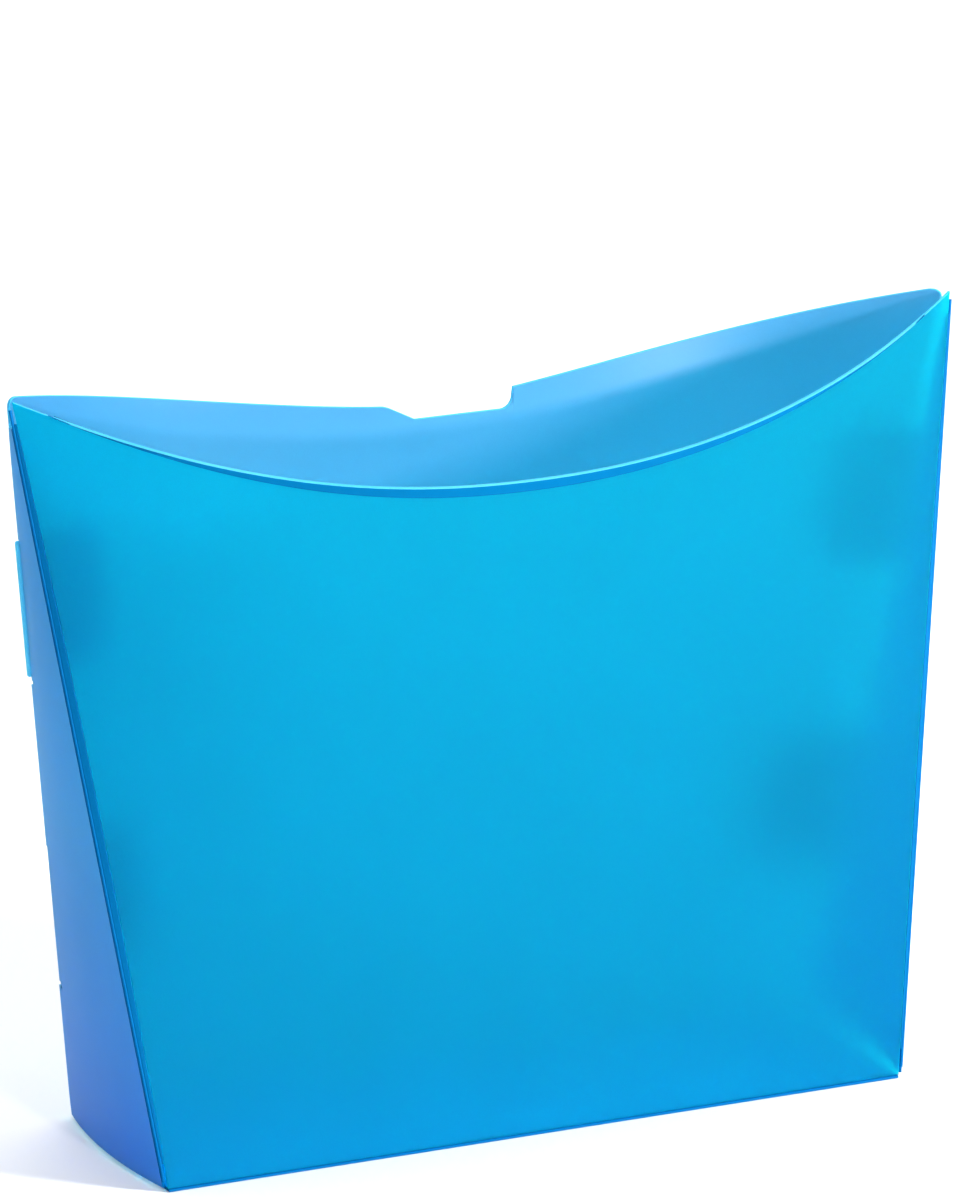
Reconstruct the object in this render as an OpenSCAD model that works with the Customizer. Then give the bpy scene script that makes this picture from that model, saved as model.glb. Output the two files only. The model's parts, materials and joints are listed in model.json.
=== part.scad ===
// Fold-up document file: one creased sheet of frosted polypropylene that stands as a
// wedge-shaped, open-topped box. A flat base, a front and a back panel that lean together
// at the top corners and bow apart between them, and two side gussets whose tongues hook
// inside the back panel.
// Frame: origin at the centre of the base underside, +X to the right, +Y to the rear, +Z up.

/* [Overall size] */
// Width of the base
base_w = 255; // [200:1:320]
// Depth of the base, front crease to rear crease
base_d = 78; // [60:1:100]
// Width across the two top corners
top_w = 322; // [280:1:380]
// Height of the top corners
height = 248; // [220:1:300]
// Thickness of the sheet
sheet_t = 1.0; // [0.8:0.1:1.2]

/* [Front panel] */
// How far the front panel bows out at its top
front_bow = 26; // [20:0.5:36]
// How far the front rim dips in the middle
front_sag = 36; // [20:1:45]
// Length of the flared lip at the middle of the rim
lip_l = 4.6; // [3:0.1:7]
// Flare of the lip from the upright
lip_tilt = 32; // [10:1:45]
// Width of the crease facet at mid height
facet_w = 1.5; // [1.5:0.1:4]
// Step of the crease facet at mid height
facet_step = 0.8; // [0.5:0.1:1.5]

/* [Back panel] */
// How far the back panel bows out at its top
back_bow = 47; // [38:0.5:52]
// How far the back panel's edge dips in the middle
back_sag = 32; // [20:1:40]
// Left end of the thumb notch's floor
notch_x0 = -4.5; // [-30:0.5:0]
// Right end of the thumb notch's floor
notch_x1 = 30; // [20:0.5:60]
// Height of the thumb notch's floor
notch_z = 211.8; // [200:0.1:214]
// Radius of the back panel's top corners
corner_r = 4; // [2:0.5:6]

/* [Gussets] */
// How far the gussets bulge out at the bottom
gusset_bulge = 3.8; // [0:0.1:5]
// Distance of the tongue creases in front of the back panel
gusset_gap = 2.4; // [2.2:0.1:3]

/* [Tongues] */
// Reach of an upper tongue across the file
upper_reach = 26; // [18:0.5:27]
// Reach of a lower tongue across the file
lower_reach = 29; // [18:0.5:32]
// Corner radius of a tongue
tongue_r = 8; // [3:1:12]
// Radius to which an upper tongue curves back
upper_curve_r = 60; // [50:1:90]
// Radius to which a lower tongue curves back
lower_curve_r = 200; // [150:5:400]
// Radius of the rolled edge beside an upper tongue
upper_roll_r = 0.9; // [0.6:0.05:0.95]
// Radius of the rolled edge beside a lower tongue
lower_roll_r = 0.5; // [0.4:0.05:0.6]

/* [Hidden] */

sheet_blue = [0.06, 0.67, 0.89];
deep_blue = [0.04, 0.55, 0.82];
crease_blue = [0.35, 0.80, 0.97];

bead_r = sheet_t / 2;          // the living hinges are beads as thick as the sheet
hinge_gap = bead_r + 0.35;     // how far a moving panel stops from its hinge axis
tip_gap = 2.0;                 // front to back distance at the top corners
hw0 = base_w / 2 - bead_r;     // half width of the side creases at the base
hw1 = top_w / 2 - bead_r;      // and at the top corners
hy0 = base_d / 2 - bead_r;     // half depth at the base
front_p = 3;                   // roundness of the front bow
back_p = 3;                    // roundness of the back bow
rim_p = 2.1;                   // roundness of the front rim's dip
edge_p = 1.5;                  // roundness of the back edge's dip
lip_u = 0.93;                  // share of the rim that the lip covers

// heights of the tongues, as shares of the side creases
up_lo = 0.622; up_hi = 0.808;
low_lo = 0.200; low_hi = 0.385;

function lerp(a, b, t) = a + (b - a) * t;
function bow(u, p) = 1 - pow(min(1, abs(u)), p);
function arch(v) = 4 * v * (1 - v);
function unit(a) = a / norm(a);

// side creases at share v of their height
function half_w(v) = lerp(hw0, hw1, v);
function half_d(v) = lerp(hy0, tip_gap / 2, v);
function z_of(v) = lerp(bead_r, height, v);
function v_of(z) = (z - bead_r) / (height - bead_r);

// middle surfaces of the front and back panels
function front_pt(u, v) = [u * half_w(v), -half_d(v) - facet_step * arch(v) - front_bow * bow(u, front_p) * v, z_of(v)];
function back_pt(u, v) = [u * half_w(v), half_d(v) + back_bow * bow(u, back_p) * v, z_of(v)];
// crease lines of the right-hand gusset
function front_line(v) = [half_w(v), -half_d(v), z_of(v)];
function rear_line(v) = [half_w(v), half_d(v) - gusset_gap, z_of(v)];
// hinge line of the right-hand tongues, just inside the gusset
tongue_in = 1.35;
function tongue_line(v) = rear_line(v) - [tongue_in, 0, 0];

// top edges
function rim_z(u) = height - 0.6 - front_sag * bow(u, rim_p);
function lip_at(u) = 0.3 + (lip_l - 0.3) * (1 - pow(u / lip_u, 2));
function front_top(u) = v_of(rim_z(u) - (abs(u) < lip_u ? lip_at(u) * cos(lip_tilt) + 0.34 : 0));
function corner_cut(d) = d >= corner_r ? 0 : corner_r - sqrt(max(0, corner_r * corner_r - pow(corner_r - d, 2)));
function back_edge_z(x) = height - back_sag * bow(x / hw1, edge_p) - corner_cut(hw1 - 0.9 - abs(x));
// thumb notch: slanted left flank, level floor, steep rounded right flank
function notch_top(x) = x < notch_x0 ? notch_z + (notch_x0 - x) * 0.5
  : x < notch_x1 - 4 ? notch_z
  : x < notch_x1 ? notch_z + 4 - sqrt(max(0, 16 - pow(x - notch_x1 + 4, 2))) : notch_z + 4 + (x - notch_x1) * 8;
function back_top(x) = min(back_edge_z(x), notch_top(x));

// A sheet of thickness t about a grid of points g[i][j].
function grid_normal(g, i, j, n, m) = unit(cross(
  g[min(n, i + 1)][j] - g[max(0, i - 1)][j], g[i][min(m, j + 1)] - g[i][max(0, j - 1)]));
module sheet(g, t) {
  n = len(g) - 1; m = len(g[0]) - 1; s = (n + 1) * (m + 1);
  up = [for (i = [0:n]) for (j = [0:m]) g[i][j] + grid_normal(g, i, j, n, m) * t / 2];
  dn = [for (i = [0:n]) for (j = [0:m]) g[i][j] - grid_normal(g, i, j, n, m) * t / 2];
  polyhedron(concat(up, dn), concat(
    [for (i = [0:n - 1]) for (j = [0:m - 1]) let(a = i * (m + 1) + j, b = a + m + 1) each
      [[a, a + 1, b + 1], [a, b + 1, b], [s + a, s + b + 1, s + a + 1], [s + a, s + b, s + b + 1]]],
    [for (j = [0:m - 1]) let(a = j, b = n * (m + 1) + j) each
      [[a + 1, a, s + a], [a + 1, s + a, s + a + 1], [b, b + 1, s + b + 1], [b, s + b + 1, s + b]]],
    [for (i = [0:n - 1]) let(a = i * (m + 1), b = a + m + 1, c = a + m, d = b + m) each
      [[a, b, s + b], [a, s + b, s + a], [d, c, s + c], [d, s + c, s + d]]]));
}

// A round bead from p to q.
module bead(p, q, r) {
  d = q - p;
  translate(p) rotate([0, acos(d[2] / norm(d)), atan2(d[1], d[0])]) cylinder(h = norm(d), r = r, $fn = 32);
}

module base_panel() {
  color(deep_blue)
    translate([-(base_w / 2 - 1.5), -(hy0 - bead_r), 0]) cube([base_w - 3, 2 * (hy0 - bead_r), sheet_t]);
}

module front_base_crease() {
  color(crease_blue) bead([-(hw0 - 1), -hy0, bead_r], [hw0 - 1, -hy0, bead_r], bead_r);
}

module rear_base_crease() {
  color(crease_blue) bead([-(hw0 - 1), hy0, bead_r], [hw0 - 1, hy0, bead_r], bead_r);
}

// columns q from one side to the other, rows from the base crease to the rim
function edge_u(v) = (half_w(v) - hinge_gap - facet_w * arch(v)) / half_w(v);
front_n = 48; front_m = 12;
module front_panel() {
  v0 = hinge_gap / height;
  g = [for (i = [0:front_n]) let(q = -1 + 2 * i / front_n)
    [for (j = [0:front_m]) let(v = lerp(v0, front_top(q * 0.995), j / front_m)) front_pt(q * edge_u(v), v)]];
  color(sheet_blue) sheet(g, sheet_t);
}

// outward direction of the front panel in plan
function front_out(u, v) = let(a = front_pt(u - 0.01, v), b = front_pt(u + 0.01, v)) unit([b[1] - a[1], a[0] - b[0], 0]);
module rim_lip() {
  n = 44;
  g = [for (i = [0:n]) let(u = lip_u * (-1 + 2 * i / n), l = max(0.3, lip_at(u)), z1 = rim_z(u),
      v = v_of(z1 - l * cos(lip_tilt)), p = front_pt(u * 0.995, v), o = front_out(u * 0.995, v))
    [for (k = [0:2]) p + (l * k / 2) * (o * sin(lip_tilt) + [0, 0, cos(lip_tilt)])]];
  color(deep_blue) sheet(g, sheet_t);
}

module edge_facet() {
  m = 24;
  g = [for (i = [0:1]) [for (j = [0:m]) let(v = lerp(0.05, 0.95, j / m),
      a = front_pt(edge_u(v), v) + [0.32, 0, 0], b = front_line(v), o = unit([a[0] - b[0], a[1] - b[1], 0]))
    i == 0 ? a : b + o * (bead_r + 0.02)]];
  color(deep_blue) sheet(g, sheet_t * 0.8);
}
module right_edge_facet() { edge_facet(); }
module left_edge_facet() { mirror([1, 0, 0]) edge_facet(); }

module right_side_crease() { color(crease_blue) bead(front_line(0.012), front_line(0.985), bead_r); }
module left_side_crease() { mirror([1, 0, 0]) right_side_crease(); }

// columns follow the side edges at both ends and the thumb notch's corners in between
back_m = 12;
function back_cols() = let(l = notch_x0, r = notch_x1, e = hw1 - 0.9) concat(
  [-e, -e + 0.4, -e + 1.2, -e + 2.4, -e + 4],
  [for (k = [1:16]) lerp(-e + 4, l - 14, k / 16)],
  [l - 9, l - 4.5, l, lerp(l, r - 4, 0.5), r - 4, r - 2, r - 0.8, r, r + 0.7],
  [for (k = [1:14]) lerp(r + 2, e - 4, k / 14)],
  [e - 2.4, e - 1.2, e - 0.4, e]);
module back_panel() {
  v0 = hinge_gap / height;
  cols = back_cols(); e = hw1 - 0.9;
  g = [for (x = cols) let(v1 = v_of(back_top(x)))
    [for (j = [0:back_m]) let(v = lerp(v0, v1, j / back_m), q = x / e, u = q * (half_w(v) - 0.9) / half_w(v)) back_pt(u, v)]];
  color(sheet_blue) mirror([0, 1, 0]) sheet([for (c = g) [for (p = c) [p[0], -p[1], p[2]]]], sheet_t);
}

// rear edge of a gusset: [share of height, reach past the rear crease line]
gusset_rear = [[0.004, -0.3], [0.035, 0.7], [0.08, 0.7], [0.13, 0.7], [0.19, 0.7], [0.1905, -2.4], [0.1975, -2.4],
  [0.198, -0.56], [0.25, -0.56], [0.32, -0.56], [0.387, -0.56], [0.3875, 0.7], [0.44, 0.7], [0.50, 0.7], [0.56, 0.7],
  [0.612, 0.7], [0.6125, -2.0], [0.619, -2.0], [0.6195, -0.46], [0.68, -0.46], [0.75, -0.46], [0.810, -0.46], [0.8105, 0.7],
  [0.85, 0.7], [0.89, 0.7], [0.93, 0.7], [0.962, 0.4]];
module gusset() {
  n = 10;
  g = [for (i = [0:n]) [for (e = gusset_rear) let(v = e[0],
      y0 = -half_d(v) + hinge_gap + 0.05, y1 = half_d(v) - gusset_gap + e[1],
      y = lerp(y0, y1, i / n), w = y / half_d(v))
    [half_w(v) + gusset_bulge * (1 - v) * max(0, 1 - w * w), y, z_of(v)]]];
  color(sheet_blue) sheet(g, sheet_t);
}
module right_gusset() { gusset(); }
module left_gusset() { mirror([1, 0, 0]) gusset(); }

// A tongue in its own frame: X along its crease, Y across the file, Z to the front. It is a
// strip of a round shell, with rounded corners at its tip and a round bead on its hinge line.
module leaf(h, reach, r, cr) {
  intersection() {
    translate([0, 0, -cr]) rotate([0, 90, 0]) difference() {
      cylinder(h = h, r = cr + sheet_t / 2, $fn = 180);
      translate([0, 0, -1]) cylinder(h = h + 2, r = cr - sheet_t / 2, $fn = 180);
    }
    translate([0, 0, -cr]) linear_extrude(height = cr + 1) {
      square([h, reach - r]);
      translate([r, 0]) square([h - 2 * r, reach]);
      translate([r, reach - r]) circle(r = r, $fn = 48);
      translate([h - r, reach - r]) circle(r = r, $fn = 48);
    }
  }
  rotate([0, 90, 0]) cylinder(h = h, r = bead_r, $fn = 32);
}
// stands a tongue on the hinge line, from share v0 of its height
module on_tongue_line(v0) {
  a = unit(tongue_line(1) - tongue_line(0));
  b = unit([-1, 0, 0] + a * a[0]);
  c = cross(a, b);
  p = tongue_line(v0);
  multmatrix([[a[0], b[0], c[0], p[0]], [a[1], b[1], c[1], p[1]], [a[2], b[2], c[2], p[2]], [0, 0, 0, 1]]) children();
}
function line_len(v0, v1) = norm(tongue_line(v1) - tongue_line(v0));
module upper_tongue() {
  color(sheet_blue) on_tongue_line(up_lo) leaf(line_len(up_lo, up_hi), upper_reach, tongue_r, upper_curve_r);
}
module lower_tongue() {
  color(sheet_blue) on_tongue_line(low_lo) leaf(line_len(low_lo, low_hi), lower_reach, tongue_r, lower_curve_r);
}
// rolled edges of the gusset beside the tongues; the upper one stands proud
upper_roll = [0.3, 0.5, 0];
module upper_roll() { color(crease_blue) bead(rear_line(up_lo) + upper_roll, rear_line(up_hi) + upper_roll, upper_roll_r); }
module lower_roll() { color(crease_blue) bead(rear_line(low_lo), rear_line(low_hi), lower_roll_r); }

module right_upper_tongue() { upper_tongue(); }
module right_lower_tongue() { lower_tongue(); }
module left_upper_tongue() { mirror([1, 0, 0]) upper_tongue(); }
module left_lower_tongue() { mirror([1, 0, 0]) lower_tongue(); }
module right_upper_tongue_crease() { upper_roll(); }
module right_lower_tongue_crease() { lower_roll(); }
module left_upper_tongue_crease() { mirror([1, 0, 0]) upper_roll(); }
module left_lower_tongue_crease() { mirror([1, 0, 0]) lower_roll(); }

base_panel();
front_base_crease();
rear_base_crease();
front_panel();
rim_lip();
left_edge_facet();
right_edge_facet();
left_side_crease();
right_side_crease();
back_panel();
left_gusset();
right_gusset();
left_upper_tongue();
left_lower_tongue();
right_upper_tongue();
right_lower_tongue();
left_upper_tongue_crease();
left_lower_tongue_crease();
right_upper_tongue_crease();
right_lower_tongue_crease();
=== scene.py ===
import json
import math

import bpy
import numpy as np
from mathutils import Matrix

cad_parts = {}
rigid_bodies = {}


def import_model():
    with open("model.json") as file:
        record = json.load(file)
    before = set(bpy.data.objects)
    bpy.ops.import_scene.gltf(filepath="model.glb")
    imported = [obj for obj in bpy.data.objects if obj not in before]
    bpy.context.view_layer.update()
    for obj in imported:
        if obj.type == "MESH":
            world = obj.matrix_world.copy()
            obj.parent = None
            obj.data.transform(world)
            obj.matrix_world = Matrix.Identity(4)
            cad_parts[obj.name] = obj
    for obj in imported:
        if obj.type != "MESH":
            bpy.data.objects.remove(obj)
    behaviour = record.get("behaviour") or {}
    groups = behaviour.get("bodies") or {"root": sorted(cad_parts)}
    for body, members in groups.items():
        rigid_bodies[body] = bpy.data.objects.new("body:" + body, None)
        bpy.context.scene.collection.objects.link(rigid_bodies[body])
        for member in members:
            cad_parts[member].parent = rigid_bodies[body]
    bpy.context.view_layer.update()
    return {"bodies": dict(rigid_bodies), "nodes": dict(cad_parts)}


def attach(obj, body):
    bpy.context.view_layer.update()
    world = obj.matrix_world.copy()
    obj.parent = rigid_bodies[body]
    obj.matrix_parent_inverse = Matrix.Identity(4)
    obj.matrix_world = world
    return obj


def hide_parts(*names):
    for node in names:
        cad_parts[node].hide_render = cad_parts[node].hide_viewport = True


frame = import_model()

nodes, bodies = frame["nodes"], frame["bodies"]

# ---------------------------------------------------------------- sizes, in millimetres
base_w, base_d, top_w, height, sheet_t = 255.0, 78.0, 322.0, 248.0, 1.0
front_bow, front_sag, lip_l, lip_tilt = 26.0, 36.0, 4.6, math.radians(32)
facet_w, facet_step = 1.5, 0.8
back_bow, back_sag, notch_x0, notch_x1, notch_z, corner_r = 47.0, 32.0, -4.5, 30.0, 211.8, 4.0
gusset_bulge, gusset_gap, tongue_in = 3.8, 2.4, 1.35
upper_reach, lower_reach, tongue_r, upper_curve_r, lower_curve_r = 26.0, 29.0, 8.0, 60.0, 200.0
bead_r, tip_gap = 0.5, 2.0
hw0, hw1, hy0 = base_w / 2 - bead_r, top_w / 2 - bead_r, base_d / 2 - bead_r
front_p, back_p, rim_p, edge_p, lip_u = 3.0, 3.0, 2.1, 1.5, 0.93
up_lo, up_hi, low_lo, low_hi = 0.622, 0.808, 0.200, 0.385
HINGE = 0.60     # how far a sheet stops from its hinge axis, just outside the crease's bead


def lerp(a, b, t):
    return a + (b - a) * t


def bow(u, p):
    return 1 - np.minimum(1, np.abs(u)) ** p


def arch(v):
    return 4 * v * (1 - v)


def half_w(v):
    return lerp(hw0, hw1, v)


def half_d(v):
    return lerp(hy0, tip_gap / 2, v)


def z_of(v):
    return lerp(bead_r, height, v)


def v_of(z):
    return (z - bead_r) / (height - bead_r)


def front_pt(u, v):
    u, v = np.broadcast_arrays(np.asarray(u, float), np.asarray(v, float))
    return np.stack([u * half_w(v), -half_d(v) - facet_step * arch(v) - front_bow * bow(u, front_p) * v, z_of(v)], -1)


def back_pt(u, v):
    u, v = np.broadcast_arrays(np.asarray(u, float), np.asarray(v, float))
    return np.stack([u * half_w(v), half_d(v) + back_bow * bow(u, back_p) * v, z_of(v)], -1)


def front_line(v):
    return np.stack([half_w(v), -half_d(v), z_of(v)], -1)


def rear_line(v):
    return np.stack([half_w(v), half_d(v) - gusset_gap, z_of(v)], -1)


def tongue_line(v):
    return rear_line(v) - np.array([tongue_in, 0, 0])


def rim_z(u):
    return height - 0.6 - front_sag * bow(u, rim_p)


def lip_at(u):
    return 0.04 + (lip_l - 0.04) * np.maximum(0, 1 - (u / lip_u) ** 2)


def edge_u(v):
    return (half_w(v) - 0.85 - facet_w * arch(v)) / half_w(v)


def corner_cut(d):
    d = np.clip(d, 0, corner_r)
    return corner_r - np.sqrt(np.maximum(0, corner_r ** 2 - (corner_r - d) ** 2))


def back_edge_z(x):
    return height - back_sag * bow(x / hw1, edge_p) - corner_cut(hw1 - 0.9 - np.abs(x))


def notch_top(x):
    r = 4.0
    rounded = notch_z + r - np.sqrt(np.maximum(0, r * r - np.clip(x - notch_x1 + r, 0, r) ** 2))
    flat = np.full_like(x, notch_z)
    t = np.where(x < notch_x0, notch_z + (notch_x0 - x) * 0.5, np.where(x < notch_x1 - r, flat, rounded))
    return np.where(x < notch_x1, t, notch_z + r + (x - notch_x1) * 8)


def unit(a):
    return a / np.maximum(np.linalg.norm(a, axis=-1, keepdims=True), 1e-12)


# ---------------------------------------------------------------- mesh building
def make_object(name, verts_mm, faces, mats, face_mat, sharp=()):
    me = bpy.data.meshes.new(name)
    me.from_pydata([tuple(float(c) / 1000 for c in v) for v in verts_mm], [], [tuple(int(i) for i in f) for f in faces])
    for m in mats:
        me.materials.append(m)
    me.polygons.foreach_set("material_index", np.asarray(face_mat, np.int32))
    me.polygons.foreach_set("use_smooth", np.ones(len(me.polygons), bool))
    if sharp:
        wanted = set(tuple(sorted(e)) for e in sharp)
        attr = me.attributes.get("sharp_edge") or me.attributes.new("sharp_edge", "BOOLEAN", "EDGE")
        attr.data.foreach_set("value", np.array([tuple(sorted(e.vertices)) in wanted for e in me.edges], bool))
    me.validate()
    me.update()
    ob = bpy.data.objects.new(name, me)
    bpy.context.scene.collection.objects.link(ob)
    return ob


def shell(name, g, t, mats, rounding=0.3, segs=3, flip=False, joined=()):
    """A sheet of thickness t about the grid g[i][j], with rounded edges all round.
    mats: the finish of its outer face, its cut edges, its inner face and its folded edges.
    joined: the sides that meet a fold, by the grid's own sides j0, in, jm and i0, or a function of (i, j, side)
    that gives the finish's number."""
    g = np.asarray(g, float)
    rows = len(g)
    pick = joined if callable(joined) else None
    sides = () if callable(joined) else joined
    if flip:
        g = g[::-1]
        sides = tuple({"i0": "in", "in": "i0"}.get(x, x) for x in sides)
    n, m = g.shape[0] - 1, g.shape[1] - 1
    du = np.empty_like(g); dv = np.empty_like(g)
    du[1:-1] = g[2:] - g[:-2]; du[0] = g[1] - g[0]; du[-1] = g[-1] - g[-2]
    dv[:, 1:-1] = g[:, 2:] - g[:, :-2]; dv[:, 0] = g[:, 1] - g[:, 0]; dv[:, -1] = g[:, -1] - g[:, -2]
    nrm = unit(np.cross(du, dv))
    idx = lambda i, j: i * (m + 1) + j
    loop = ([(i, 0) for i in range(n)] + [(n, j) for j in range(m)]
            + [(i, m) for i in range(n, 0, -1)] + [(0, j) for j in range(m, 0, -1)])
    out = np.zeros_like(g)
    for (i, j) in loop:
        o = np.zeros(3)
        if j == 0:
            d = g[i, 0] - g[i, 1]; tang = unit(du[i, j]); d = d - tang * (d @ tang); o += unit(d)
        if j == m:
            d = g[i, m] - g[i, m - 1]; tang = unit(du[i, j]); d = d - tang * (d @ tang); o += unit(d)
        if i == 0:
            d = g[0, j] - g[1, j]; tang = unit(dv[i, j]); d = d - tang * (d @ tang); o += unit(d)
        if i == n:
            d = g[n, j] - g[n - 1, j]; tang = unit(dv[i, j]); d = d - tang * (d @ tang); o += unit(d)
        out[i, j] = o
    side = ["j0"] * n + ["in"] * m + ["jm"] * n + ["i0"] * m
    if pick:
        strip = [pick(rows - 1 - i if flip else i, j, side[k]) for k, (i, j) in enumerate(loop)]
    else:
        strip = [3 if side[k] in sides else 1 for k in range(len(loop))]
    r = min(rounding, t / 2)
    top, bot = g + nrm * (t / 2), g - nrm * (t / 2)
    for (i, j) in loop:
        top[i, j] -= out[i, j] * r
        bot[i, j] -= out[i, j] * r
    verts = [p for row in top for p in row] + [p for row in bot for p in row]
    size = (n + 1) * (m + 1)
    faces, fm = [], []
    for i in range(n):
        for j in range(m):
            a, b = idx(i, j), idx(i + 1, j)
            faces.append((a, b, b + 1, a + 1)); fm.append(0)
            faces.append((size + a, size + a + 1, size + b + 1, size + b)); fm.append(2)
    rings = [[idx(i, j) for (i, j) in loop]]
    prof = []
    for k in range(1, segs + 1):
        f = math.pi / 2 * k / segs
        prof.append((-r * (1 - math.sin(f)), t / 2 - r + r * math.cos(f)))
    prof += [(a, -b) for (a, b) in prof[::-1] if b > 1e-6] if prof[-1][1] > 1e-6 else [(a, -b) for (a, b) in prof[:-1][::-1]]
    for (a, b) in prof:
        ring = []
        for (i, j) in loop:
            ring.append(len(verts))
            verts.append(g[i, j] + out[i, j] * a + nrm[i, j] * b)
        rings.append(ring)
    rings.append([size + idx(i, j) for (i, j) in loop])
    sharp = []
    for a, b in zip(rings[:-1], rings[1:]):
        for k in range(len(loop)):
            k2 = (k + 1) % len(loop)
            faces.append((a[k2], a[k], b[k], b[k2])); fm.append(strip[k])
    for ring in (rings[0], rings[-1]):
        sharp += [(ring[k], ring[(k + 1) % len(ring)]) for k in range(len(ring))]
    return make_object(name, verts, faces, mats, fm, sharp)


def sweep(name, pts, radii, mats, sides=16, squash=None):
    """A round bead along pts, with its radius at each point; its ends are closed."""
    pts = np.asarray(pts, float)
    d = unit(pts[-1] - pts[0])
    a = unit(np.cross(d, [0, 1, 0])); b = np.cross(d, a)
    verts, faces, fm = [], [], []
    for p, r in zip(pts, radii):
        for k in range(sides):
            f = 2 * math.pi * k / sides
            verts.append(p + a * math.cos(f) * r + b * math.sin(f) * r)
    for i in range(len(pts) - 1):
        for k in range(sides):
            k2 = (k + 1) % sides
            faces.append((i * sides + k, i * sides + k2, (i + 1) * sides + k2, (i + 1) * sides + k)); fm.append(0)
    faces.append(tuple(range(sides))[::-1]); fm.append(0)
    faces.append(tuple((len(pts) - 1) * sides + k for k in range(sides))); fm.append(0)
    return make_object(name, verts, faces, mats, fm)


def round_ends(p, q, r, segs=5, body=24):
    """Points and radii of a bead from p to q with rounded ends."""
    p, q = np.asarray(p, float), np.asarray(q, float)
    L = np.linalg.norm(q - p); d = (q - p) / L
    s, rr = [], []
    for k in range(segs + 1):
        f = math.pi / 2 * k / segs
        s.append(r * (1 - math.cos(f))); rr.append(max(0.04, r * math.sin(f)))
    for k in range(1, body):
        s.append(lerp(r, L - r, k / body)); rr.append(r)
    for k in range(segs + 1):
        f = math.pi / 2 * (1 - k / segs)
        s.append(L - r * (1 - math.cos(f))); rr.append(max(0.04, r * math.sin(f)))
    return [p + d * x for x in s], rr


def mirrored(g):
    g = np.array(g, float)
    g[..., 0] *= -1
    return g


# ---------------------------------------------------------------- materials
def frosted(name, colour, deep, rough=0.5, trans=0.5, spec=0.25, soft=0.3, grain=1.0, ior=1.18, low=1.0):
    """Frosted polypropylene: a sand-textured, half see-through sheet. low: how dark its colour is made towards the
    base, painted shade over its lowest 110 mm.
    """
    mat = bpy.data.materials.new(name)
    mat.use_nodes = True
    nt = mat.node_tree
    nt.nodes.clear()
    N, Lk = nt.nodes.new, nt.links.new
    out = N("ShaderNodeOutputMaterial")
    p = N("ShaderNodeBsdfPrincipled")
    tl = N("ShaderNodeBsdfTranslucent")
    mix = N("ShaderNodeMixShader")
    tc = N("ShaderNodeTexCoord")
    cloud = N("ShaderNodeTexNoise"); cloud.inputs["Scale"].default_value = 22; cloud.inputs["Detail"].default_value = 3
    sand = N("ShaderNodeTexNoise"); sand.inputs["Scale"].default_value = 2600; sand.inputs["Detail"].default_value = 2
    Lk(tc.outputs["Object"], cloud.inputs["Vector"])
    Lk(tc.outputs["Object"], sand.inputs["Vector"])
    ramp = N("ShaderNodeMapRange"); ramp.inputs["From Min"].default_value = 0.35; ramp.inputs["From Max"].default_value = 0.65
    Lk(cloud.outputs["Fac"], ramp.inputs["Value"])
    c1 = N("ShaderNodeMix"); c1.data_type = "RGBA"
    c1.inputs["A"].default_value = (*deep, 1); c1.inputs["B"].default_value = (*colour, 1)
    Lk(ramp.outputs["Result"], c1.inputs["Factor"])
    # the fine sand shows as a slight mottle too
    c2 = N("ShaderNodeMix"); c2.data_type = "RGBA"; c2.blend_type = "MULTIPLY"; c2.inputs["Factor"].default_value = 1
    sr = N("ShaderNodeMapRange"); sr.inputs["From Min"].default_value = 0.3; sr.inputs["From Max"].default_value = 0.7
    sr.inputs["To Min"].default_value = 0.965; sr.inputs["To Max"].default_value = 1.03
    Lk(sand.outputs["Fac"], sr.inputs["Value"])
    Lk(c1.outputs["Result"], c2.inputs["A"]); Lk(sr.outputs["Result"], c2.inputs["B"])
    # painted shade: below 110 mm the colour is multiplied darker, with less red and green, darkest at the base
    xyz = N("ShaderNodeSeparateXYZ"); Lk(tc.outputs["Object"], xyz.inputs["Vector"])
    lr = N("ShaderNodeMapRange"); lr.inputs["From Min"].default_value = 0.0; lr.inputs["From Max"].default_value = 0.11
    Lk(xyz.outputs["Z"], lr.inputs["Value"])
    c3 = N("ShaderNodeMix"); c3.data_type = "RGBA"; c3.blend_type = "MULTIPLY"; c3.inputs["Factor"].default_value = 1
    bottom_shade = N("ShaderNodeMix"); bottom_shade.data_type = "RGBA"
    bottom_shade.inputs["A"].default_value = (low * low, low, min(1, low * 1.6), 1); bottom_shade.inputs["B"].default_value = (1, 1, 1, 1)
    Lk(lr.outputs["Result"], bottom_shade.inputs["Factor"])
    Lk(c2.outputs["Result"], c3.inputs["A"]); Lk(bottom_shade.outputs["Result"], c3.inputs["B"])
    Lk(c3.outputs["Result"], p.inputs["Base Color"])
    Lk(c3.outputs["Result"], tl.inputs["Color"])
    rr = N("ShaderNodeMapRange"); rr.inputs["To Min"].default_value = rough - 0.04; rr.inputs["To Max"].default_value = rough + 0.04
    Lk(sand.outputs["Fac"], rr.inputs["Value"]); Lk(rr.outputs["Result"], p.inputs["Roughness"])
    bump = N("ShaderNodeBump"); bump.inputs["Strength"].default_value = 0.25 * grain; bump.inputs["Distance"].default_value = 0.00006
    Lk(sand.outputs["Fac"], bump.inputs["Height"])
    Lk(bump.outputs["Normal"], p.inputs["Normal"])
    p.inputs["Transmission Weight"].default_value = trans
    p.inputs["IOR"].default_value = ior
    p.inputs["Specular IOR Level"].default_value = spec
    mix.inputs["Fac"].default_value = soft
    Lk(p.outputs["BSDF"], mix.inputs[1]); Lk(tl.outputs["BSDF"], mix.inputs[2])
    Lk(mix.outputs["Shader"], out.inputs["Surface"])
    return mat


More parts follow.
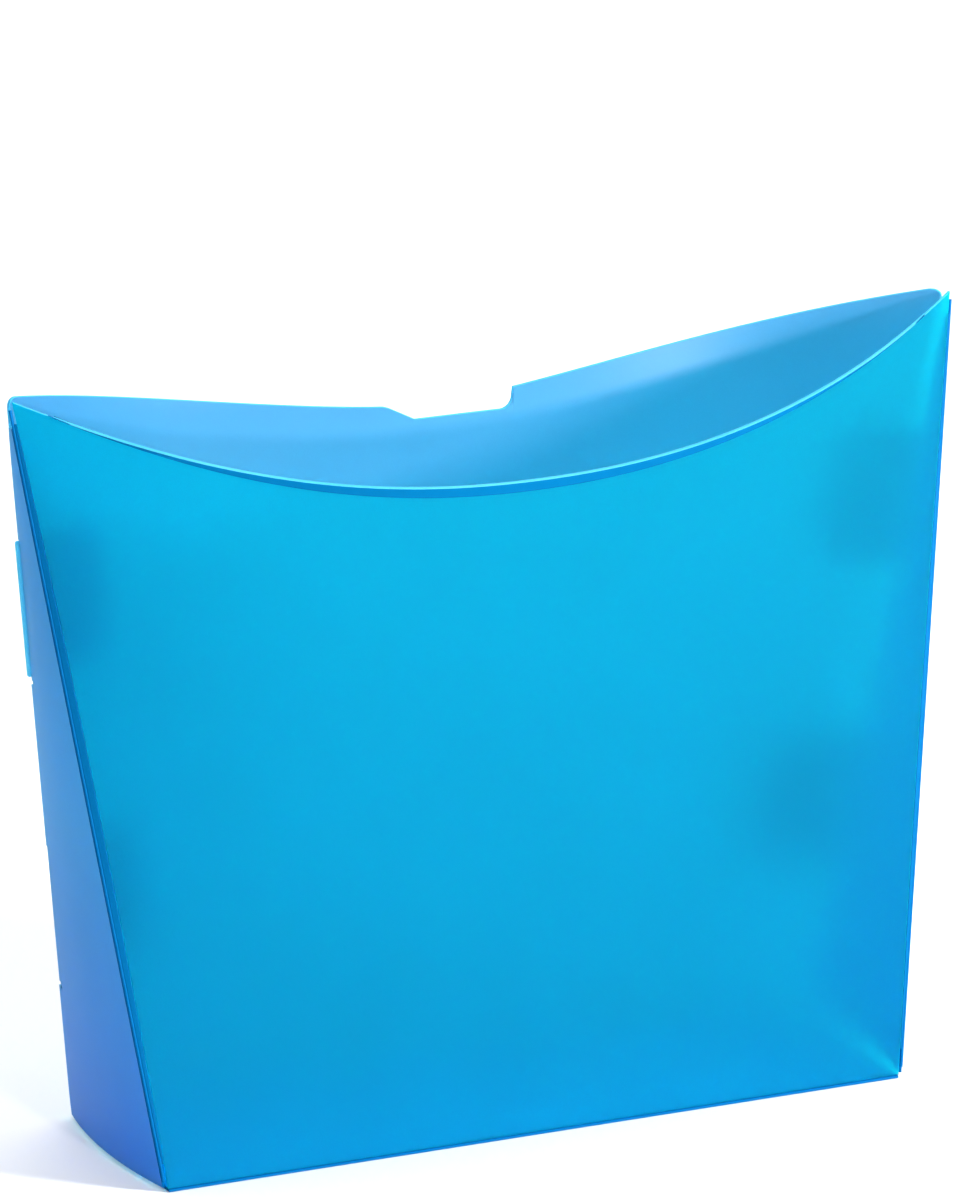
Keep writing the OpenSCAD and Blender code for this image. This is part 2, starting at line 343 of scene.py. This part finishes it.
FRONT = frosted("frosted_front", (0.0, 0.63, 0.77), (0.0, 0.615, 0.755), rough=0.75, trans=0.89, spec=0.0, soft=0.2, ior=1.12)
INFRONT = frosted("frosted_front_inner", (0.0, 0.66, 0.79), (0.0, 0.645, 0.775), rough=0.75, trans=0.89, spec=0.0, soft=0.2, ior=1.12)
# The inner face's blue carries some red: the sheet's own blue with a painted sheen, standing in for the whitish haze of
# the key light.
INNER = frosted("frosted_inner", (0.09, 0.29, 0.55), (0.085, 0.28, 0.53), rough=0.3, trans=0.7, spec=1.0, soft=0.04, ior=1.5)
OUTER = frosted("frosted_outer", (0.02, 0.50, 0.84), (0.015, 0.48, 0.82), rough=0.5, trans=0.75, spec=0.35, soft=0.04, ior=1.4)
# The gusset's outer face is a lighter copy of its blue and its inner face a darker one: painted light outside, painted
# shade inside the file's corners.
LIT_SIDE_OUT = frosted("frosted_gusset", (0.02, 0.56, 0.93), (0.01, 0.54, 0.91), rough=0.5, trans=0.65, spec=0.24, soft=0.04, ior=1.4, low=0.6)
SHADED_SIDE_IN = frosted("frosted_gusset_inner", (0.0, 0.22, 0.70), (0.0, 0.21, 0.68), rough=0.6, trans=0.35, spec=0.1, soft=0.1, ior=1.3, low=0.75)
# The tongues are a deeper blue than the sheets they are cut from: painted shade, so they show darker through the front
# panel.
SHADED_FLAP = frosted("frosted_flap", (0.0, 0.26, 0.64), (0.0, 0.25, 0.62), rough=0.6, trans=0.8, spec=0.1, soft=0.1, ior=1.2)
# The base is opaque and lighter than a see-through sheet would be: painted light on the dim bottom of the file.
LIT_BASE_SHEET = frosted("frosted_base", (0.0, 0.44, 0.90), (0.0, 0.42, 0.88), rough=0.5, trans=0.0, spec=0.1, soft=0.05)
# The cut edges are a lighter blue with some red: a painted highlight where light catches the sheet's edges.
EDGE = frosted("cut_edge", (0.10, 0.62, 0.90), (0.08, 0.59, 0.88), rough=0.4, trans=0.25, soft=0.25, grain=0.6)
# The lip's dark blue is painted shade: the lip tilts outward and faces down, away from the light.
SHADED_LIP = frosted("lip_sheet", (0.0, 0.15, 0.36), (0.0, 0.14, 0.34), trans=0.2, spec=0.03, soft=0.1)
# The folded edges and the facet strips beside the front panel are a dark blue: painted shade along the folds.
SHADED_FOLD = frosted("folded_edge", (0.0, 0.14, 0.36), (0.0, 0.13, 0.34), trans=0.2, spec=0.03, soft=0.1)
CREASE = frosted("crease", (0.0, 0.15, 0.42), (0.0, 0.14, 0.40), rough=0.42, trans=0.2, spec=0.03, soft=0.1, grain=0.6)
# The upper rolled edges are a light blue with some red: a painted highlight along the bend.
ROLL_HIGHLIGHT = frosted("rolled_edge", (0.16, 0.74, 0.99), (0.12, 0.68, 0.95), rough=0.4, trans=0.3, spec=0.3, soft=0.2, grain=0.6)

# outer face, cut edges, inner face, folded edges
SKIN = [FRONT, EDGE, INFRONT, SHADED_FOLD]
BODY = [OUTER, EDGE, INNER, SHADED_FOLD]
SIDE = [LIT_SIDE_OUT, EDGE, SHADED_SIDE_IN, SHADED_FOLD]
FLAPS = [SHADED_FLAP, EDGE, SHADED_FLAP, SHADED_FOLD]
BASE = [LIT_BASE_SHEET, EDGE, LIT_BASE_SHEET, SHADED_FOLD]
RIM = [SHADED_LIP, EDGE, SHADED_LIP, SHADED_FOLD]
SHADED_FACET = [SHADED_FOLD, SHADED_FOLD, SHADED_FOLD, SHADED_FOLD]

# ---------------------------------------------------------------- front panel and its lip
FN, FM = 160, 44
uu = np.concatenate([[-1], np.linspace(-0.9925, 0.9925, FN - 1), [1]])


def front_out(u, v):
    a, b = front_pt(u - 0.01, v), front_pt(u + 0.01, v)
    return unit(np.stack([b[..., 1] - a[..., 1], a[..., 0] - b[..., 0], 0 * a[..., 0]], -1))


def score_v(u):
    return v_of(rim_z(u) - np.where(np.abs(u) < lip_u, lip_at(u), 0) * math.cos(lip_tilt))


v0 = 0.60 / height
jj = np.concatenate([[0], np.linspace(0.006, 0.994, FM - 1), [1]])
g = np.empty((len(uu), len(jj), 3))
for i, q in enumerate(uu):
    vt = float(score_v(np.array(q * 0.995)))
    v = lerp(v0, vt, jj)
    g[i] = front_pt(q * edge_u(v) * 0.9997, v)
front = shell("front_sheet", g, sheet_t, SKIN, rounding=0.18,
              joined=lambda i, j, side: {"jm": 3 if abs(uu[i]) < lip_u else 1, "j0": 3}.get(side, 0))
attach(front, "front"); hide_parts("front_panel")

us = np.linspace(-lip_u * 0.9975, lip_u * 0.9975, 141)
g = np.empty((len(us), 6, 3))
for i, u in enumerate(us):
    L = float(lip_at(u))
    v = score_v(np.array(u))
    p = front_pt(u, v); o = front_out(np.array(u), v)
    d = o * math.sin(lip_tilt) + np.array([0, 0, math.cos(lip_tilt)])
    g[i] = [p + d * (0.05 * min(1, L) + (L - 0.05 * min(1, L)) * s) for s in (0, 0.1, 0.35, 0.65, 0.9, 1)]
lip = shell("rim_lip_strip", g, sheet_t, RIM, rounding=0.18, joined=("j0",))
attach(lip, "front"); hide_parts("rim_lip")

# ---------------------------------------------------------------- crease facets beside the front panel
def facet_grid():
    rows = np.linspace(0.035, 0.968, 61)
    g = np.empty((4, len(rows), 3))
    for j, v in enumerate(rows):
        a = front_pt(edge_u(v), v) + np.array([0.06, 0, 0])
        b = front_line(v)
        o = unit(np.array([a[0] - b[0], a[1] - b[1], 0]))
        b = b + o * (bead_r + 0.01)
        for i, s in enumerate((0, 0.33, 0.67, 1)):
            g[i, j] = lerp(a, b, s)
    return g


for side in ("left", "right"):
    fg = facet_grid() if side == "right" else mirrored(facet_grid())
    ob = shell(side + "_facet_strip", fg, sheet_t * 0.8, SHADED_FACET, rounding=0.1, segs=2, flip=side == "left", joined=("i0", "in", "j0", "jm"))
    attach(ob, "front"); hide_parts(side + "_edge_facet")

# ---------------------------------------------------------------- back panel with its thumb notch
e = hw1 - 0.9
cols = np.unique(np.round(np.concatenate([
    [-e], -e + np.array([0.25, 0.6, 1.0, 1.5, 2.0, 2.6, 3.3, 4]),
    np.linspace(-e + 6, notch_x0 - 16, 62), np.linspace(notch_x0 - 15, notch_x0 - 1, 8), [notch_x0],
    np.linspace(notch_x0 + 2, notch_x1 - 4, 14), notch_x1 - 4 + 4 * np.sin(np.radians([15, 30, 45, 60, 72, 82, 90])),
    [notch_x1 + 0.35, notch_x1 + 0.75], np.linspace(notch_x1 + 1.6, e - 6, 60),
    e - np.array([4, 3.3, 2.6, 2.0, 1.5, 1.0, 0.6, 0.25]), [e]]), 4))
BM = 48
jj = np.concatenate([[0], np.linspace(0.006, 0.994, BM - 1), [1]])
g = np.empty((len(cols), len(jj), 3))
tops = np.minimum(back_edge_z(cols), notch_top(cols))
for i, x in enumerate(cols):
    v = lerp(v0, float(v_of(tops[i])), jj)
    q = x / e
    u = q * (half_w(v) - 0.9) / half_w(v)
    g[i] = back_pt(u, v)
back = shell("back_sheet", g, sheet_t, BODY, rounding=0.18, flip=True, joined=("j0",))
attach(back, "back"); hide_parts("back_panel")

# ---------------------------------------------------------------- base
bx = np.concatenate([[-126], np.linspace(-125.3, 125.3, 60), [126]])
by = np.concatenate([[-hy0 + 0.56], np.linspace(-hy0 + 1.2, hy0 - 1.2, 18), [hy0 - 0.56]])
g = np.array([[[x, y, sheet_t / 2] for y in by] for x in bx])
base = shell("base_sheet", g, sheet_t, BASE, rounding=0.18, joined=("i0", "in", "j0", "jm"))
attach(base, "base"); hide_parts("base_panel")

# ---------------------------------------------------------------- gussets
rear = [(0.004, -0.3), (0.020, 0.45), (0.035, 0.7), (0.08, 0.7), (0.13, 0.7), (0.19, 0.7), (0.1905, -2.4), (0.1975, -2.4),
        (0.198, -0.56), (0.387, -0.56), (0.3875, 0.7), (0.44, 0.7), (0.56, 0.7), (0.612, 0.7),
        (0.6125, -2.0), (0.619, -2.0), (0.6195, -0.46), (0.810, -0.46), (0.8105, 0.7), (0.93, 0.7), (0.962, 0.4)]


def gusset_grid():
    rows = [rear[0]]
    for (a, ra), (b, rb) in zip(rear[:-1], rear[1:]):
        k = max(1, int(round((b - a) / 0.012)))
        rows += [(lerp(a, b, s / k), lerp(ra, rb, s / k)) for s in range(1, k + 1)]
    n = 26
    g = np.empty((n + 1, len(rows), 3))
    for j, (v, reach) in enumerate(rows):
        y0 = -half_d(v) + HINGE
        y1 = half_d(v) - gusset_gap + reach
        for i in range(n + 1):
            y = lerp(y0, y1, i / n); w = y / half_d(v)
            g[i, j] = [half_w(v) + gusset_bulge * (1 - v) * max(0, 1 - w * w), y, z_of(v)]
    return g


for side in ("left", "right"):
    gg = gusset_grid() if side == "right" else mirrored(gusset_grid())
    ob = shell(side + "_gusset_sheet", gg, sheet_t, SIDE, rounding=0.18, flip=side == "left", joined=("i0", "j0"))
    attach(ob, side + "_side"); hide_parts(side + "_gusset")

# ---------------------------------------------------------------- tongues, and the rolled edges beside them
def leaf_grid(lo, hi, reach, curve):
    a = unit(tongue_line(1.0) - tongue_line(0.0))
    b = unit(np.array([-1.0, 0, 0]) + a * a[0])
    c = np.cross(a, b)
    p = tongue_line(lo)
    h = np.linalg.norm(tongue_line(hi) - tongue_line(lo))
    r = tongue_r
    xs = np.concatenate([r * (1 - np.cos(np.radians(np.linspace(0, 90, 9)))), np.linspace(r, h - r, 12)[1:-1],
                         (h - r * (1 - np.cos(np.radians(np.linspace(0, 90, 9)))))[::-1]])
    n = 14
    g = np.empty((len(xs), n + 1, 3))
    for i, x in enumerate(xs):
        d = min(x, h - x)
        top = reach if d >= r else reach - r + math.sqrt(max(0, r * r - (r - d) ** 2))
        for j in range(n + 1):
            y = -0.5 + (top + 0.5) * j / n
            z = math.sqrt(curve * curve - max(0, y) ** 2) - curve
            g[i, j] = p + a * x + b * y + c * z
    return g


for side in ("left", "right"):
    for level, lo, hi, reach, curve in (("upper", up_lo, up_hi, upper_reach, upper_curve_r), ("lower", low_lo, low_hi, lower_reach, lower_curve_r)):
        lg = leaf_grid(lo, hi, reach, curve)
        if side == "left":
            lg = mirrored(lg)
        ob = shell(f"{side}_{level}_tongue_leaf", lg, sheet_t, FLAPS, rounding=0.3, flip=side == "left", joined=("j0",))
        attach(ob, f"{side}_{level}_tongue_leaf"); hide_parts(f"{side}_{level}_tongue")
    for level, lo, hi, r, off in (("upper", up_lo, up_hi, 0.9, (0.9, 0.9, 0)), ("lower", low_lo, low_hi, 0.5, (0, 0, 0))):
        p, q = rear_line(lo) + np.array(off), rear_line(hi) + np.array(off)
        if side == "left":
            p, q = mirrored(p), mirrored(q)
        pts, radii = round_ends(p, q, r)
        ob = sweep(f"{side}_{level}_rolled_edge", pts, radii, [ROLL_HIGHLIGHT if level == "upper" else CREASE])
        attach(ob, side + "_side"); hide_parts(f"{side}_{level}_tongue_crease")

# the creases' beads are the CAD's own, with the crease's finish
for n in ("front_base_crease", "rear_base_crease", "left_side_crease", "right_side_crease"):
    o = nodes[n]
    o.data.materials.clear()
    o.data.materials.append(CREASE)
    for poly in o.data.polygons:
        poly.material_index = 0

# ---------------------------------------------------------------- floor, light and camera
fm = bpy.data.materials.new("studio_floor")
fm.use_nodes = True
fb = fm.node_tree.nodes["Principled BSDF"]
fb.inputs["Base Color"].default_value = (0.93, 0.93, 0.93, 1)
fb.inputs["Roughness"].default_value = 0.9
fb.inputs["Specular IOR Level"].default_value = 0.1
me = bpy.data.meshes.new("floor")
me.from_pydata([(-9, -9, 0), (9, -9, 0), (9, 9, 0), (-9, 9, 0)], [], [(0, 1, 2, 3)])
me.materials.append(fm)
floor = bpy.data.objects.new("floor", me)
bpy.context.scene.collection.objects.link(floor)

world = bpy.data.worlds.new("studio")
bpy.context.scene.world = world
world.use_nodes = True
bg = world.node_tree.nodes["Background"]
bg.inputs["Color"].default_value = (1, 1, 1, 1)
# the studio is bright behind the object and dim in front of it
wc = world.node_tree.nodes.new("ShaderNodeTexCoord")
wx = world.node_tree.nodes.new("ShaderNodeSeparateXYZ")
wr = world.node_tree.nodes.new("ShaderNodeMapRange")
wr.interpolation_type = "SMOOTHSTEP"
for k, x in (("From Min", -0.5), ("From Max", 0.5), ("To Min", 0.14), ("To Max", 1.0)):
    wr.inputs[k].default_value = x
world.node_tree.links.new(wc.outputs["Generated"], wx.inputs["Vector"])
world.node_tree.links.new(wx.outputs["Y"], wr.inputs["Value"])
world.node_tree.links.new(wr.outputs["Result"], bg.inputs["Strength"])


def softbox(name, place, size, power, colour=(1, 1, 1), look=(0, 0, 0.12)):
    light = bpy.data.lights.new(name, "AREA")
    light.shape = "RECTANGLE"; light.size, light.size_y = size
    light.energy = power; light.color = colour
    ob = bpy.data.objects.new(name, light)
    bpy.context.scene.collection.objects.link(ob)
    z = unit(np.array(place, float) - np.array(look, float))
    x = unit(np.cross([0, 0, 1], z)); y = np.cross(z, x)
    ob.matrix_world = Matrix(((x[0], y[0], z[0], place[0]), (x[1], y[1], z[1], place[1]), (x[2], y[2], z[2], place[2]), (0, 0, 0, 1)))
    return ob


softbox("key_softbox", (1.37, -1.37, 0.72), (0.3, 0.3), 72, look=(0, 0, 0.2))
softbox("low_softbox", (0.05, -2.2, 0.315), (0.16, 0.13), 38, look=(0.05, 0, 0.23))
softbox("top_softbox", (0, 0.7, 2.4), (3.2, 3.2), 48)

a, el, tx, ty, dist, f = math.radians(24.60), math.radians(16.56), 3.03, -157.51, 2855.8, 9000.0
right = np.array([math.cos(a), -math.sin(a), 0])
up = np.array([math.sin(a) * math.sin(el), math.cos(a) * math.sin(el), math.cos(el)])
fwd = np.array([math.sin(a) * math.cos(el), math.cos(a) * math.cos(el), -math.sin(el)])
C = (-tx * right - ty * up - dist * fwd) / 1000
cam = bpy.data.cameras.new("camera")
cam.sensor_fit = "AUTO"
cam.sensor_width = 36
cam.lens = f * 36 / 1200
cam.clip_start, cam.clip_end = 0.05, 60
co = bpy.data.objects.new("camera", cam)
bpy.context.scene.collection.objects.link(co)
co.matrix_world = Matrix(((right[0], up[0], -fwd[0], C[0]), (right[1], up[1], -fwd[1], C[1]), (right[2], up[2], -fwd[2], C[2]), (0, 0, 0, 1)))
bpy.context.scene.camera = co
bpy.context.scene.view_settings.view_transform = "Standard"
